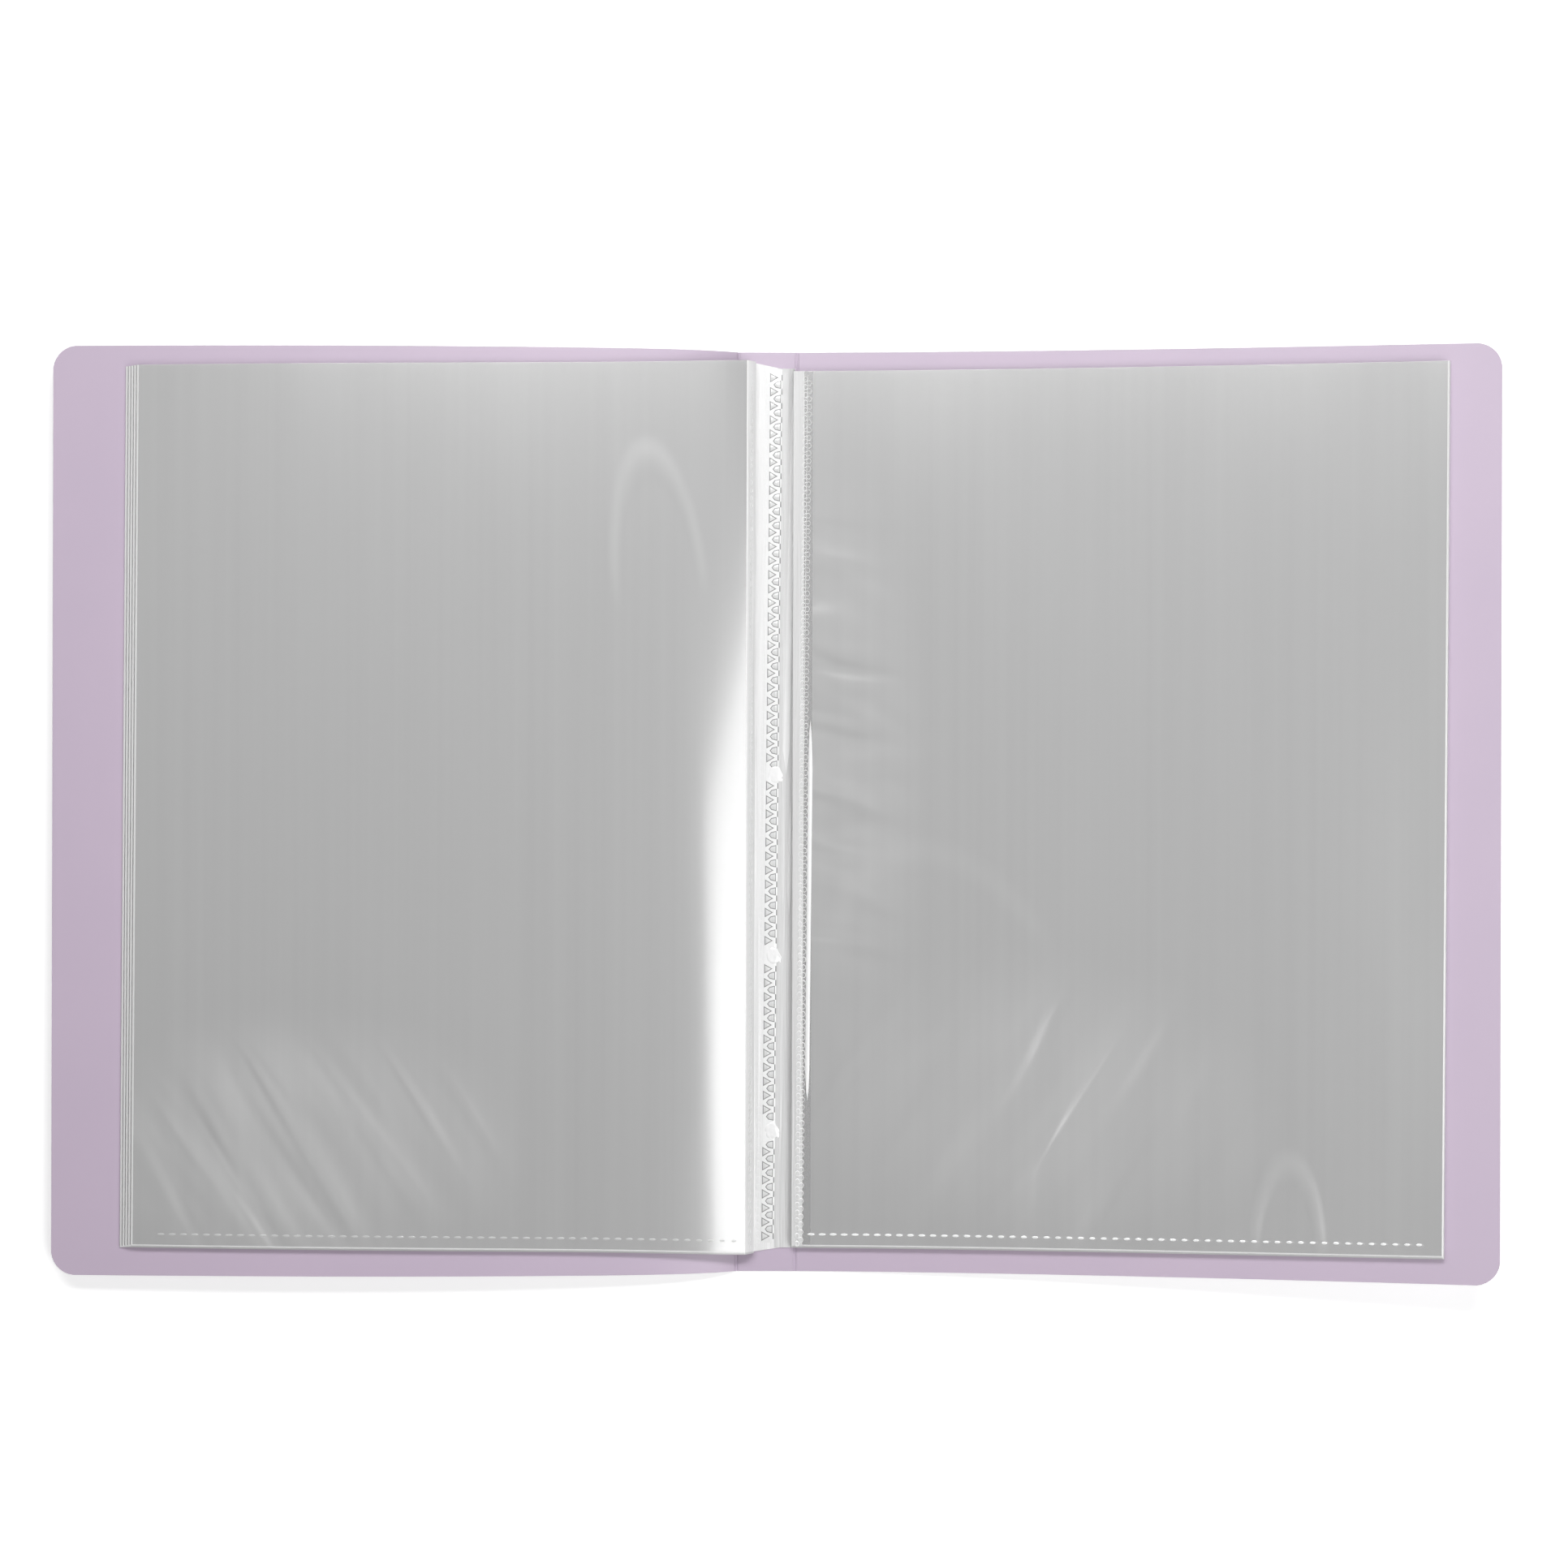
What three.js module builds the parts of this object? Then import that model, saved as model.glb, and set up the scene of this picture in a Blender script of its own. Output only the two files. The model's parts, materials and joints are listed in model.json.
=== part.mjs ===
// An A4 display book lying open: one scored plastic cover sheet with a front panel, a spine and
// a back panel, and clear film pocket leaves bound along the gutter by a zig-zag weld.
// Millimetres. +X is towards the back cover, +Y is towards the mouths of the pockets, +Z is up.
// The origin is the middle of the underside of the spine, which is what the book rests on.

import * as THREE from "three";

// The cover sheet
const FRONT_PANEL_WIDTH = 236;
const BACK_PANEL_WIDTH = 240;
const SPINE_WIDTH = 20;
const COVER_THICKNESS = 0.7;
const COVER_CORNER_RADIUS = 9.5;
const COVER_TOP_MARGIN = 5.7;
const COVER_BOTTOM_MARGIN = 8.3;
const CREASE_WIDTH = 0.3;

// How far each side stands up from the table at rest, held there by the spring of its crease.
// The front side first springs up steeply beside its crease and then bends over.
const FRONT_RISE_DEG = 1.7;
const BACK_RISE_DEG = 5.5;
const FRONT_SPRING_RUN = 12;
const FRONT_SPRING_RISE = 5;

// The sheet that a pocket is made for, and the room around it
const PAPER_WIDTH = 210;
const PAPER_HEIGHT = 297;
const PAPER_SIDE_ROOM = 6;
const PAPER_TOP_ROOM = 4.3;

// One pocket leaf
const LEAVES_PER_SIDE = 5;
const FILM_THICKNESS = 0.1;
const POCKET_GAP = 0.3;
const LEAF_GAP = 0.3;
const SPINE_SEAM_INSET = 3;
const SPINE_SEAM_WIDTH = 3;
const BOTTOM_WELD_UP = 3.5;
const BOTTOM_WELD_HEIGHT = 1.2;
const BEAD_CLEARANCE = 0.1;

// Where the leaves turn, measured in from each crease line of the spine
const FRONT_ROOT_INSET = 5.8;
const BACK_ROOT_INSET = 1;

// The strip under the leaf roots and the zig-zag weld that binds them
const BINDING_THICKNESS = 0.3;
const BINDING_LIP = 0.5;
const ZIGZAG_WIDTH = 5;
const ZIGZAG_RIBBON = 1.6;
const ZIGZAG_PITCH = 5;
const ZIGZAG_HEIGHT = 0.5;
const ZIGZAG_END_ROOM = 1;

// Faces on a quarter circle
const CORNER_STEPS = 8;
const FOLD_STEPS = 4;

// Sizes that follow from the ones above
const LEAF_WIDTH = SPINE_SEAM_INSET + SPINE_SEAM_WIDTH + PAPER_WIDTH + PAPER_SIDE_ROOM;
const LEAF_HEIGHT = BOTTOM_WELD_UP + BOTTOM_WELD_HEIGHT + PAPER_HEIGHT + PAPER_TOP_ROOM;
const LEAF_THICKNESS = 2 * FILM_THICKNESS + POCKET_GAP;
const LEAF_PITCH = LEAF_THICKNESS + LEAF_GAP;
const FOLD_RADIUS = LEAF_THICKNESS / 2;
const FILM_WIDTH = LEAF_WIDTH - FOLD_RADIUS - BEAD_CLEARANCE;
const COVER_HEIGHT = LEAF_HEIGHT + COVER_TOP_MARGIN + COVER_BOTTOM_MARGIN;
const COVER_TOP = COVER_HEIGHT / 2;
const LEAF_TOP = COVER_TOP - COVER_TOP_MARGIN;
const LEAF_BOTTOM = LEAF_TOP - LEAF_HEIGHT;
const CREASE_X = (SPINE_WIDTH + CREASE_WIDTH) / 2;
const FRONT_ROOT_X = FRONT_ROOT_INSET - SPINE_WIDTH / 2;
const BACK_ROOT_X = SPINE_WIDTH / 2 - BACK_ROOT_INSET;
const BINDING_TOP = COVER_THICKNESS + BINDING_THICKNESS;
const ROOT_Z = BINDING_TOP + LEAF_GAP;

// The side of the spine that a piece lies on
const FRONT = -1;
const BACK = 1;

// Where the front leaves bend over, measured from their roots
const LEAF_SPRING_RUN = FRONT_SPRING_RUN + CREASE_X + FRONT_ROOT_X;

const coverPlastic = new THREE.MeshStandardMaterial({ color: "#cdbdd2", roughness: 0.35, metalness: 0 });
const spinePlastic = new THREE.MeshStandardMaterial({ color: "#c6b6cc", roughness: 0.35, metalness: 0 });
const pocketFilm = new THREE.MeshStandardMaterial({ color: "#bdbdbd", roughness: 0.15, metalness: 0 });
const weldedFilm = new THREE.MeshStandardMaterial({ color: "#e4e4e4", roughness: 0.25, metalness: 0 });

function named(name, geometry, material) {
  const mesh = new THREE.Mesh(geometry, material);
  mesh.name = name;
  return mesh;
}

// A flat piece of one outline, standing on the level z.
function plate(points, z, thickness) {
  const geometry = new THREE.ExtrudeGeometry(new THREE.Shape(points), {
    depth: thickness,
    bevelEnabled: false,
  });
  return geometry.translate(0, 0, z);
}

function rectangle(x0, x1, y0, y1) {
  return [
    new THREE.Vector2(x0, y0),
    new THREE.Vector2(x1, y0),
    new THREE.Vector2(x1, y1),
    new THREE.Vector2(x0, y1),
  ];
}

// How far a piece of one side has sprung up at x, measured out from the line it turns about.
function springRise(side, x, run) {
  return side === FRONT ? FRONT_SPRING_RISE * Math.min(x / run, 1) : 0;
}

// A sheet that is straight along Y and follows its stations outwards, each one { x, y0, y1, z }.
function bentPlate(side, stations, thickness) {
  const corners = stations.flatMap(({ x, y0, y1, z }) => [
    [side * x, y0, z],
    [side * x, y1, z],
    [side * x, y1, z + thickness],
    [side * x, y0, z + thickness],
  ]);
  const quads = [[0, 1, 2, 3]];
  for (let start = 0; start < corners.length - 4; start += 4) {
    for (let edge = 0; edge < 4; edge++) {
      const next = (edge + 1) % 4;
      quads.push([start + edge, start + 4 + edge, start + 4 + next, start + next]);
    }
  }
  quads.push([3, 2, 1, 0].map((corner) => corners.length - 4 + corner));
  const outward = side === FRONT ? [0, 1, 2, 0, 2, 3] : [0, 2, 1, 0, 3, 2];
  const geometry = new THREE.BufferGeometry();
  geometry.setAttribute("position", new THREE.Float32BufferAttribute(corners.flat(), 3));
  geometry.setIndex(quads.flatMap((quad) => outward.map((corner) => quad[corner])));
  const faceted = geometry.toNonIndexed();
  faceted.computeVertexNormals();
  return faceted;
}

// A strip along the leaf, from inner to outer away from its root, on one side of the spine.
function leafPlate(side, inner, outer, y0, y1, z, thickness) {
  const bends = side === FRONT && inner < LEAF_SPRING_RUN && outer > LEAF_SPRING_RUN;
  const places = bends ? [inner, LEAF_SPRING_RUN, outer] : [inner, outer];
  const stations = places.map((x) => ({ x, y0, y1, z: z + springRise(side, x, LEAF_SPRING_RUN) }));
  return bentPlate(side, stations, thickness);
}

// One cover panel: straight along its crease, with two round outer corners.
function coverPanel(side, width) {
  const inner = CREASE_WIDTH / 2;
  const places = [{ x: inner, y1: COVER_TOP }];
  if (side === FRONT) places.push({ x: FRONT_SPRING_RUN, y1: COVER_TOP });
  for (let step = 0; step <= CORNER_STEPS; step++) {
    const angle = (Math.PI / 2) * (1 - step / CORNER_STEPS);
    places.push({
      x: inner + width - COVER_CORNER_RADIUS * (1 - Math.cos(angle)),
      y1: COVER_TOP - COVER_CORNER_RADIUS * (1 - Math.sin(angle)),
    });
  }
  const stations = places.map(({ x, y1 }) => ({
    x,
    y0: -y1,
    y1,
    z: springRise(side, x, FRONT_SPRING_RUN) - COVER_THICKNESS,
  }));
  return bentPlate(side, stations, COVER_THICKNESS);
}

// The cover panel hangs on its crease at the upper face of the sheet.
function cover(name, side, width, riseDeg) {
  const panel = named(name, coverPanel(side, width), coverPlastic);
  panel.position.set(side * CREASE_X, 0, COVER_THICKNESS);
  panel.rotation.y = -side * THREE.MathUtils.degToRad(riseDeg);
  return panel;
}

function spinePanel() {
  const half = SPINE_WIDTH / 2;
  const geometry = plate(rectangle(-half, half, -COVER_TOP, COVER_TOP), 0, COVER_THICKNESS);
  return named("spine_panel", geometry, spinePlastic);
}

// The film strip on the spine that carries every leaf's root.
function bindingStrip() {
  const x0 = FRONT_ROOT_X - BINDING_LIP;
  const x1 = BACK_ROOT_X + BINDING_LIP;
  const geometry = plate(rectangle(x0, x1, LEAF_BOTTOM, LEAF_TOP), COVER_THICKNESS, BINDING_THICKNESS);
  return named("binding_strip", geometry, pocketFilm);
}

// A raised zig-zag ribbon down the gutter, midway between the two rows of roots, so that both
// stacks of leaves can stand up on either side of it.
function zigzagWeld() {
  const middle = (FRONT_ROOT_X + BACK_ROOT_X) / 2;
  const swing = (ZIGZAG_WIDTH - ZIGZAG_RIBBON) / 2;
  const halfPitch = ZIGZAG_PITCH / 2;
  const turns = Math.floor((LEAF_HEIGHT - 2 * ZIGZAG_END_ROOM) / halfPitch);
  const bottom = (LEAF_TOP + LEAF_BOTTOM - turns * halfPitch) / 2;
  const leftEdge = [];
  const rightEdge = [];
  for (let turn = 0; turn <= turns; turn++) {
    const x = middle + (turn % 2 === 0 ? -swing : swing);
    const y = bottom + turn * halfPitch;
    leftEdge.push(new THREE.Vector2(x - ZIGZAG_RIBBON / 2, y));
    rightEdge.push(new THREE.Vector2(x + ZIGZAG_RIBBON / 2, y));
  }
  const geometry = plate([...rightEdge, ...leftEdge.reverse()], BINDING_TOP, ZIGZAG_HEIGHT);
  return named("zigzag_weld", geometry, weldedFilm);
}

// The rounded outer edge where the film of a pocket turns back on itself.
function outerFold(side) {
  const outline = new THREE.Shape();
  outline.absarc(0, 0, FOLD_RADIUS, -Math.PI / 2, Math.PI / 2, false);
  const geometry = new THREE.ExtrudeGeometry(outline, {
    depth: LEAF_HEIGHT,
    bevelEnabled: false,
    curveSegments: 2 * FOLD_STEPS,
  });
  geometry.rotateX(Math.PI / 2);
  if (side === FRONT) geometry.rotateZ(Math.PI);
  const alongY = side === FRONT ? LEAF_BOTTOM : LEAF_TOP;
  const rise = springRise(side, LEAF_WIDTH, LEAF_SPRING_RUN);
  return geometry.translate(side * (LEAF_WIDTH - FOLD_RADIUS), alongY, rise + FOLD_RADIUS);
}

// One pocket, in a frame whose Y axis is the line at its root that it turns about. The film
// that faces the reader when the leaf lies on the back cover is its front film.
function pocketLeaf(number, side) {
  const prefix = `leaf_${String(number).padStart(2, "0")}`;
  const seamOuter = SPINE_SEAM_INSET + SPINE_SEAM_WIDTH;
  // On the front side the bead starts where the leaf has bent over, which keeps it convex.
  const weldInner = (side === FRONT ? LEAF_SPRING_RUN : seamOuter) + BEAD_CLEARANCE;
  const upperFilmZ = FILM_THICKNESS + POCKET_GAP;
  const [frontFilmZ, rearFilmZ] = side === BACK ? [upperFilmZ, 0] : [0, upperFilmZ];
  const beadZ = FILM_THICKNESS + BEAD_CLEARANCE;
  const beadThickness = POCKET_GAP - 2 * BEAD_CLEARANCE;
  const weldBottom = LEAF_BOTTOM + BOTTOM_WELD_UP;
  const weldTop = weldBottom + BOTTOM_WELD_HEIGHT;
  const film = (z) => leafPlate(side, 0, FILM_WIDTH, LEAF_BOTTOM, LEAF_TOP, z, FILM_THICKNESS);

  const leaf = new THREE.Group();
  leaf.add(
    named(`${prefix}_front_film`, film(frontFilmZ), pocketFilm),
    named(`${prefix}_rear_film`, film(rearFilmZ), pocketFilm),
    named(`${prefix}_outer_fold`, outerFold(side), pocketFilm),
    named(
      `${prefix}_spine_seam`,
      leafPlate(side, SPINE_SEAM_INSET, seamOuter, LEAF_BOTTOM, LEAF_TOP, beadZ, beadThickness),
      weldedFilm,
    ),
    named(
      `${prefix}_bottom_weld`,
      leafPlate(side, weldInner, FILM_WIDTH, weldBottom, weldTop, beadZ, beadThickness),
      weldedFilm,
    ),
  );
  return leaf;
}

// The leaves that lie on one cover, parallel to it, each on the one below.
function leafStack(side, riseDeg, rootX, numbers) {
  const stack = new THREE.Group();
  stack.position.set(rootX, 0, ROOT_Z);
  stack.rotation.y = -side * THREE.MathUtils.degToRad(riseDeg);
  numbers.forEach((number, level) => {
    const leaf = pocketLeaf(number, side);
    leaf.position.z = level * LEAF_PITCH;
    stack.add(leaf);
  });
  return stack;
}

// Leaf 1 lies next to the front cover, and the last leaf next to the back cover.
const leafNumbers = Array.from({ length: 2 * LEAVES_PER_SIDE }, (_, index) => index + 1);
const frontNumbers = leafNumbers.slice(0, LEAVES_PER_SIDE);
const backNumbers = leafNumbers.slice(LEAVES_PER_SIDE).reverse();

const displayBook = new THREE.Group();
displayBook.add(
  cover("front_cover", FRONT, FRONT_PANEL_WIDTH, FRONT_RISE_DEG),
  spinePanel(),
  cover("back_cover", BACK, BACK_PANEL_WIDTH, BACK_RISE_DEG),
  bindingStrip(),
  zigzagWeld(),
  leafStack(FRONT, FRONT_RISE_DEG, FRONT_ROOT_X, frontNumbers),
  leafStack(BACK, BACK_RISE_DEG, BACK_ROOT_X, backNumbers),
);

export default displayBook;
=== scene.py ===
# %% [markdown]
# # A display book of lilac plastic with clear pockets
#
# The book lies open on its back and is seen from straight above. Its cover is one sheet of
# lilac plastic with two pressed creases. Ten clear film pockets are welded into the gutter,
# five on each side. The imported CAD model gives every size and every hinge, and this lesson
# gives each piece its bend, its welds and its finish.

# %% Load the frame
import json
import math

import bmesh
import bpy
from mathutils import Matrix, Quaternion, Vector


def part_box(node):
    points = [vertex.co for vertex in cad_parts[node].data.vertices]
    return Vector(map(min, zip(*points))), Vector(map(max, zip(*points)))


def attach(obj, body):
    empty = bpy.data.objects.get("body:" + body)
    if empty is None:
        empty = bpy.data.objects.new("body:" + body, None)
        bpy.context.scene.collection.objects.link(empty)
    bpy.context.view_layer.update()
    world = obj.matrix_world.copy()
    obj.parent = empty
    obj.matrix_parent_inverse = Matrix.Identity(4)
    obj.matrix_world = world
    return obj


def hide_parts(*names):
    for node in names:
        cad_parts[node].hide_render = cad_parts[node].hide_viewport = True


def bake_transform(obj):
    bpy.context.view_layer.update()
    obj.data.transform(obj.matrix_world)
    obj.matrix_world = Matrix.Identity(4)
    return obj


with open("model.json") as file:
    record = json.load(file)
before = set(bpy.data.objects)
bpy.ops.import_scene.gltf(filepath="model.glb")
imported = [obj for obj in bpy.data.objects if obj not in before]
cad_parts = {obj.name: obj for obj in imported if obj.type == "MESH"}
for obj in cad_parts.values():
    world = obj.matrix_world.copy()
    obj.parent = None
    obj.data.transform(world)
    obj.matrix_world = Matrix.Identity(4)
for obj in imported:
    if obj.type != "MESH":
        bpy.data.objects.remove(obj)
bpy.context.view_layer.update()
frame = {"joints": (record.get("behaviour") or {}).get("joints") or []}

# %% [markdown]
# ## Sizes
#
# Everything that the CAD model holds is read from it, so that the two can't drift apart. Only
# what it leaves out is written here: how the panels and the film bend.

# %% Sizes that come from the CAD model
MM = 0.001
spine_low, spine_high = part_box("spine_panel")
strip_low, strip_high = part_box("binding_strip")
hinge = {joint["name"]: Vector(joint["pos_m"]) for joint in frame["joints"]}

SHEET = spine_high.z
COVER_BOTTOM = spine_low.y
COVER_TOP = spine_high.y
FRONT_CREASE = hinge["front_cover_hinge"].x
BACK_CREASE = hinge["back_cover_hinge"].x
FRONT_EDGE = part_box("front_cover")[0].x
BACK_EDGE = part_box("back_cover")[1].x
LEAF_BOTTOM = strip_low.y
LEAF_TOP = strip_high.y
FRONT_ROOT = hinge["leaf_01_turn"].x
BACK_ROOT = hinge["leaf_10_turn"].x
ROOT_Z = hinge["leaf_01_turn"].z
LEAF_PITCH = (hinge["leaf_02_turn"] - hinge["leaf_01_turn"]).length
print("cover sheet", round(SHEET / MM, 2), "mm, one leaf every", round(LEAF_PITCH / MM, 2), "mm")

# %% How far each panel stands off the table
FRONT_SPRING = 6.5 * MM
FRONT_SPRING_RUN = 14 * MM
FRONT_END_RISE = 3.7 * MM
FRONT_BOW = 3.7 * MM
BACK_END_RISE = 24 * MM
BACK_CURVE = 1.5


def front_bow(x):
    """The slow part of the front panel's rise, left of its crease."""
    share = max(FRONT_CREASE - x, 0) / (FRONT_CREASE - FRONT_EDGE)
    return FRONT_END_RISE * share + FRONT_BOW * math.sin(math.pi * share)


def front_panel_z(x):
    """Height of the front panel's underside. It springs up at its crease and bows."""
    reach = max(FRONT_CREASE - x, 0)
    return FRONT_SPRING * (1 - math.exp(-reach / FRONT_SPRING_RUN)) + front_bow(x)


def back_panel_z(x):
    """Height of the back panel's underside. It is hollow, and steeper towards its edge."""
    share = max(x - BACK_CREASE, 0) / (BACK_EDGE - BACK_CREASE)
    return BACK_END_RISE * share**BACK_CURVE


print("front edge stands", round(front_panel_z(FRONT_EDGE) / MM, 1), "mm off the table")
print("back edge stands", round(back_panel_z(BACK_EDGE) / MM, 1), "mm off the table")

# %% [markdown]
# ## Camera
#
# The photo is taken from straight above, so both panels are seen square on. The raised edges
# look a little larger than the spine, which puts the camera about 0.9 m away.

# %% Camera
CAMERA_PLACE = (6.0 * MM, 9.7 * MM, 0.896)
CAMERA_TURN = math.radians(0.145)
CAMERA_LENS = 59.0

bpy.ops.object.select_all(action="DESELECT")
bpy.ops.object.camera_add(location=CAMERA_PLACE, rotation=(0, 0, CAMERA_TURN))
camera = bpy.context.object
camera.data.lens = CAMERA_LENS
camera.data.sensor_width = 36
bpy.context.scene.camera = camera
print("camera lens", camera.data.lens, "mm")

# %% [markdown]
# ## Helpers for the hand work
#
# Each piece starts as a primitive and is shaped in edit mode. An operator acts on all that is
# selected, so these helpers deselect first and then pick points or faces by where they are.


# %% Start, select and finish
def start_piece(name, add_primitive, **place):
    """Adds a primitive as a piece of its own, with its place in its mesh, in edit mode."""
    bpy.ops.object.select_all(action="DESELECT")
    add_primitive(**place)
    piece = bpy.context.object
    piece.name = name
    bpy.ops.object.transform_apply(location=True, rotation=True, scale=True)
    bpy.ops.object.mode_set(mode="EDIT")
    bpy.ops.mesh.select_all(action="SELECT")
    return piece


def select_where(kind, test):
    """Selects the vertices, edges or faces of the mesh in edit mode whose middle passes the test."""
    bpy.ops.mesh.select_mode(type=kind)
    bpy.ops.mesh.select_all(action="DESELECT")
    mesh = bpy.context.object.data
    shape = bmesh.from_edit_mesh(mesh)
    if kind == "VERT":
        found = [vertex for vertex in shape.verts if test(vertex.co)]
    elif kind == "EDGE":
        found = [edge for edge in shape.edges if test((edge.verts[0].co + edge.verts[1].co) / 2)]
    else:
        found = [face for face in shape.faces if test(face.calc_center_median())]
    for part in found:
        part.select_set(True)
    shape.select_flush_mode()
    bmesh.update_edit_mesh(mesh)
    return len(found)


def move(x=0, y=0, z=0):
    """Moves what is selected in edit mode."""
    bpy.ops.transform.translate(value=(x, y, z))


def repeat_along(spots):
    """Copies the shape at the first spot to all the others, in edit mode."""
    bpy.ops.mesh.select_all(action="SELECT")
    for before, after in zip(spots, spots[1:]):
        step = {"value": tuple(b - a for a, b in zip(before, after))}
        bpy.ops.mesh.duplicate_move(TRANSFORM_OT_translate=step)
    bpy.ops.mesh.select_all(action="SELECT")


def apply_modifier(piece, kind, **settings):
    """Adds a modifier, sets it and applies it."""
    modifier = piece.modifiers.new(kind.title(), kind)
    for key, value in settings.items():
        setattr(modifier, key, value)
    bpy.ops.object.select_all(action="DESELECT")
    bpy.context.view_layer.objects.active = piece
    piece.select_set(True)
    bpy.ops.object.modifier_apply(modifier=modifier.name)


def finish_piece(piece, smooth_angle=40):
    """Leaves edit mode with the normals outwards and smooth shading between the sharp edges."""
    bpy.ops.object.mode_set(mode="EDIT")
    bpy.ops.mesh.select_all(action="SELECT")
    bpy.ops.mesh.normals_make_consistent(inside=False)
    bpy.ops.object.mode_set(mode="OBJECT")
    bpy.ops.object.shade_smooth_by_angle(angle=math.radians(smooth_angle))
    return piece


# %% [markdown]
# ## A bent sheet
#
# The cover and the film are both sheets that bend only across the book. Such a sheet could be
# a flat grid that a modifier bends, but then its height is hard to set. Here one straight edge
# along the book is pulled, step by step, through points of the wanted outline.


# %% Pull an edge through the points of an outline
def turn_edge(lean, x, z):
    """Turns the selected edge sideways about its middle."""
    bpy.ops.transform.rotate(value=math.atan(lean), orient_axis="Z", center_override=(x, 0, z))


def pulled_sheet(name, outline, ends, rows, lean=None, border=None):
    """A sheet whose first edge runs along the book and is extruded through (x, z) points.

    ends(x) gives the two y where the sheet ends at that x, and lean(x) how far the edge leans
    sideways there, in metres for each metre. A border keeps one narrow row of faces at the ends.
    """
    first_x, first_z = outline[0]
    bottom, top = ends(first_x)
    height = top - bottom
    middle = (first_x + height / 2, (bottom + top) / 2, first_z)
    sheet = start_piece(name, bpy.ops.mesh.primitive_plane_add, size=height, location=middle)
    select_where("VERT", lambda co: co.x > first_x + height / 2)
    bpy.ops.mesh.delete(type="VERT")
    bpy.ops.mesh.select_all(action="SELECT")
    bpy.ops.mesh.subdivide(number_cuts=rows - 1)
    if border:
        row = height / rows
        select_where("VERT", lambda co: abs(co.y - bottom - row) < row / 2)
        move(y=border - row)
        select_where("VERT", lambda co: abs(co.y - top + row) < row / 2)
        move(y=row - border)
    bpy.ops.mesh.select_all(action="SELECT")
    if lean:
        turn_edge(lean(first_x), first_x, first_z)
    for (x0, z0), (x1, z1) in zip(outline, outline[1:]):
        bottom0, top0 = ends(x0)
        bottom1, top1 = ends(x1)
        slide = (bottom1 + top1 - bottom0 - top0) / 2
        step = {"value": (x1 - x0, slide, z1 - z0)}
        bpy.ops.mesh.extrude_region_move(TRANSFORM_OT_translate=step)
        grow = (top1 - bottom1) / (top0 - bottom0)
        centre = (x1, (bottom1 + top1) / 2, z1)
        bpy.ops.transform.resize(value=(1, grow, 1), center_override=centre)
        if lean and lean(x1) != lean(x0):
            turn_edge(lean(x1) - lean(x0), x1, z1)
    bpy.ops.mesh.select_all(action="SELECT")
    bpy.ops.mesh.normals_make_consistent(inside=False)
    bpy.ops.object.mode_set(mode="OBJECT")
    return sheet


def closer_at_start(start, end, steps):
    """Places from start to end that lie close together at the start, where the bend is tight."""
    return [start + (end - start) * (step / steps) ** 2 for step in range(steps + 1)]


def closer_at_ends(start, end, steps):
    """Places from start to end that lie close together at both ends."""
    turns = [math.pi * step / steps for step in range(steps + 1)]
    return [start + (end - start) * (1 - math.cos(turn)) / 2 for turn in turns]


def in_steps(start, end, steps):
    """Places from start to end, all the same distance apart."""
    return [start + (end - start) * step / steps for step in range(steps + 1)]


# %% [markdown]
# ## Nodes for the finishes
#
# Every finish is a small tree of nodes. Colours are written as on a colour card and turned to
# linear values once, here.


# %% Colour and node helpers
def colour(card):
    """Linear red, green, blue and alpha of an sRGB value such as 'c9bbcd'."""
    parts = [int(card[at : at + 2], 16) / 255 for at in (0, 2, 4)]
    linear = [part / 12.92 if part <= 0.04045 else ((part + 0.055) / 1.055) ** 2.4 for part in parts]
    return (*linear, 1.0)


def add_node(tree, kind, inputs=None, **settings):
    """Adds a node with its settings. An input is a plain value or another node's output."""
    node = tree.nodes.new(kind)
    for key, value in settings.items():
        setattr(node, key, value)
    for socket, value in (inputs or {}).items():
        if isinstance(value, bpy.types.NodeSocket):
            tree.links.new(value, node.inputs[socket])
        else:
            node.inputs[socket].default_value = value
    return node


def calculated(tree, operation, first, second=None):
    """The outcome of one sum on values or on other nodes' outputs."""
    inputs = {0: first} if second is None else {0: first, 1: second}
    return add_node(tree, "ShaderNodeMath", inputs, operation=operation).outputs[0]


def times(tree, first, second):
    """The product of two values."""
    return calculated(tree, "MULTIPLY", first, second)


def summed(tree, heights):
    """Adds up several heights."""
    total = heights[0]
    for height in heights[1:]:
        total = calculated(tree, "ADD", total, height)
    return total


def mixed_tint(tree, factor, dark, light):
    """A colour between two colours of the card."""
    colours = {"Factor": factor, 6: colour(dark), 7: colour(light)}
    return add_node(tree, "ShaderNodeMix", colours, data_type="RGBA").outputs[2]


def relief_of(tree, height, strength, distance):
    """The small relief that a height gives, as a normal for the surface."""
    inputs = {"Height": height, "Strength": strength, "Distance": distance}
    return add_node(tree, "ShaderNodeBump", inputs).outputs["Normal"]


def add_surface(tree, inputs):
    """The surface with these inputs, linked to the output of the material."""
    shader = add_node(tree, "ShaderNodeBsdfPrincipled", inputs)
    add_node(tree, "ShaderNodeOutputMaterial", {"Surface": shader.outputs["BSDF"]})


def new_material(name):
    """An empty material and its node tree."""
    material = bpy.data.materials.new(name)
    material.use_nodes = True
    material.node_tree.nodes.clear()
    return material, material.node_tree


def paint(piece, *materials):
    """Gives a piece its materials. All its faces take the first one."""
    piece.data.materials.clear()
    for material in materials:
        piece.data.materials.append(material)


def paint_where(piece, number, test):
    """Gives the faces whose middle passes the test the material of this number."""
    bpy.ops.object.mode_set(mode="EDIT")
    found = select_where("FACE", test)
    piece.active_material_index = number
    bpy.ops.object.material_slot_assign()
    bpy.ops.object.mode_set(mode="OBJECT")
    return found


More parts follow.
